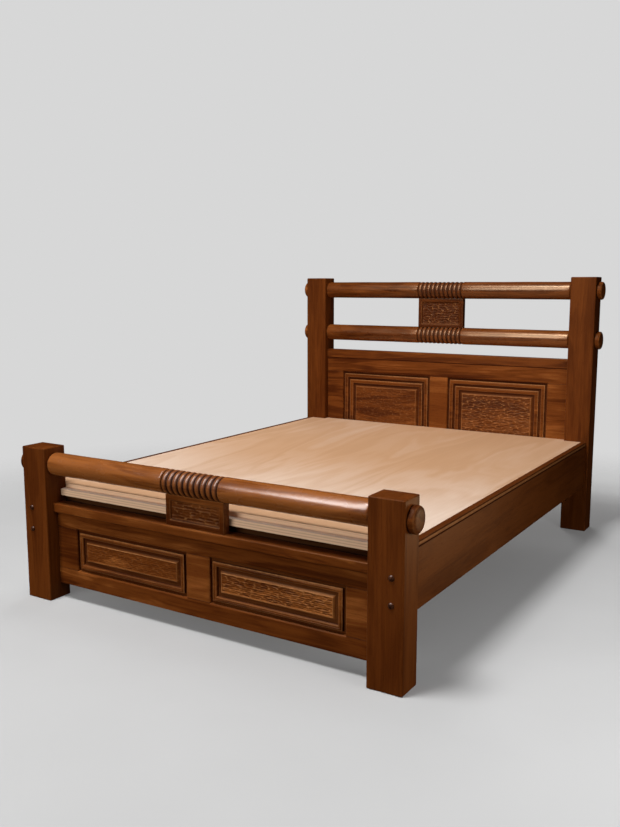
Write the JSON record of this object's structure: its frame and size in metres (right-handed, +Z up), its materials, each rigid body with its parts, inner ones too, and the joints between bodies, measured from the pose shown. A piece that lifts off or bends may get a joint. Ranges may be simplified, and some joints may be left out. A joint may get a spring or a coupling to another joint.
{
  "type": "bed frame",
  "caption": "Double bed frame of stained hardwood with square posts, turned round rails with beaded middles, framed panels with gouged fields, and a plywood mattress deck.",
  "frame": {"origin": "on the floor, under the middle of the bed", "axes": "+Y from the foot to the head, +X to the right seen from the foot, +Z up"},
  "size_m": [1.6526, 2.141, 1.23],
  "materials": {
    "stained_hardwood": "reddish brown mahogany stain under satin lacquer",
    "plywood": "bare sanded plywood",
    "softwood": "bare sawn softwood",
    "dark_steel": "dark bronzed steel"
  },
  "bodies": {
    "root": {"bearer_1": "softwood", "bearer_2": "softwood", "bearer_3": "softwood", "bearer_4": "softwood", "bolt_foot_left_high": "dark_steel", "bolt_foot_left_low": "dark_steel", "bolt_foot_right_high": "dark_steel", "bolt_foot_right_low": "dark_steel", "bolt_head_left_high": "dark_steel", "bolt_head_left_low": "dark_steel", "bolt_head_right_high": "dark_steel", "bolt_head_right_low": "dark_steel", "deck_base": "plywood", "deck_board": "plywood", "foot_block": "stained_hardwood", "foot_bottom_rail": "stained_hardwood", "foot_cap": "stained_hardwood", "foot_knob_left": "stained_hardwood", "foot_knob_right": "stained_hardwood", "foot_moulding_left": "stained_hardwood", "foot_moulding_right": "stained_hardwood", "foot_muntin": "stained_hardwood", "foot_panel_left": "stained_hardwood", "foot_panel_right": "stained_hardwood", "foot_post_left": "stained_hardwood", "foot_post_right": "stained_hardwood", "foot_round_rail": "stained_hardwood", "foot_stile_left": "stained_hardwood", "foot_stile_right": "stained_hardwood", "foot_top_rail": "stained_hardwood", "head_block": "stained_hardwood", "head_bottom_rail": "stained_hardwood", "head_cap": "stained_hardwood", "head_inner_moulding_left": "stained_hardwood", "head_inner_moulding_right": "stained_hardwood", "head_lower_knob_left": "stained_hardwood", "head_lower_knob_right": "stained_hardwood", "head_lower_round_rail": "stained_hardwood", "head_muntin": "stained_hardwood", "head_outer_moulding_left": "stained_hardwood", "head_outer_moulding_right": "stained_hardwood", "head_panel_left": "stained_hardwood", "head_panel_right": "stained_hardwood", "head_post_left": "stained_hardwood", "head_post_right": "stained_hardwood", "head_stile_left": "stained_hardwood", "head_stile_right": "stained_hardwood", "head_top_rail": "stained_hardwood", "head_upper_knob_left": "stained_hardwood", "head_upper_knob_right": "stained_hardwood", "head_upper_round_rail": "stained_hardwood", "ledger_left": "softwood", "ledger_right": "softwood", "nut_plate_foot_left": "dark_steel", "nut_plate_foot_right": "dark_steel", "nut_plate_head_left": "dark_steel", "nut_plate_head_right": "dark_steel", "side_rail_left": "stained_hardwood", "side_rail_right": "stained_hardwood"}
  },
  "joints": []
}
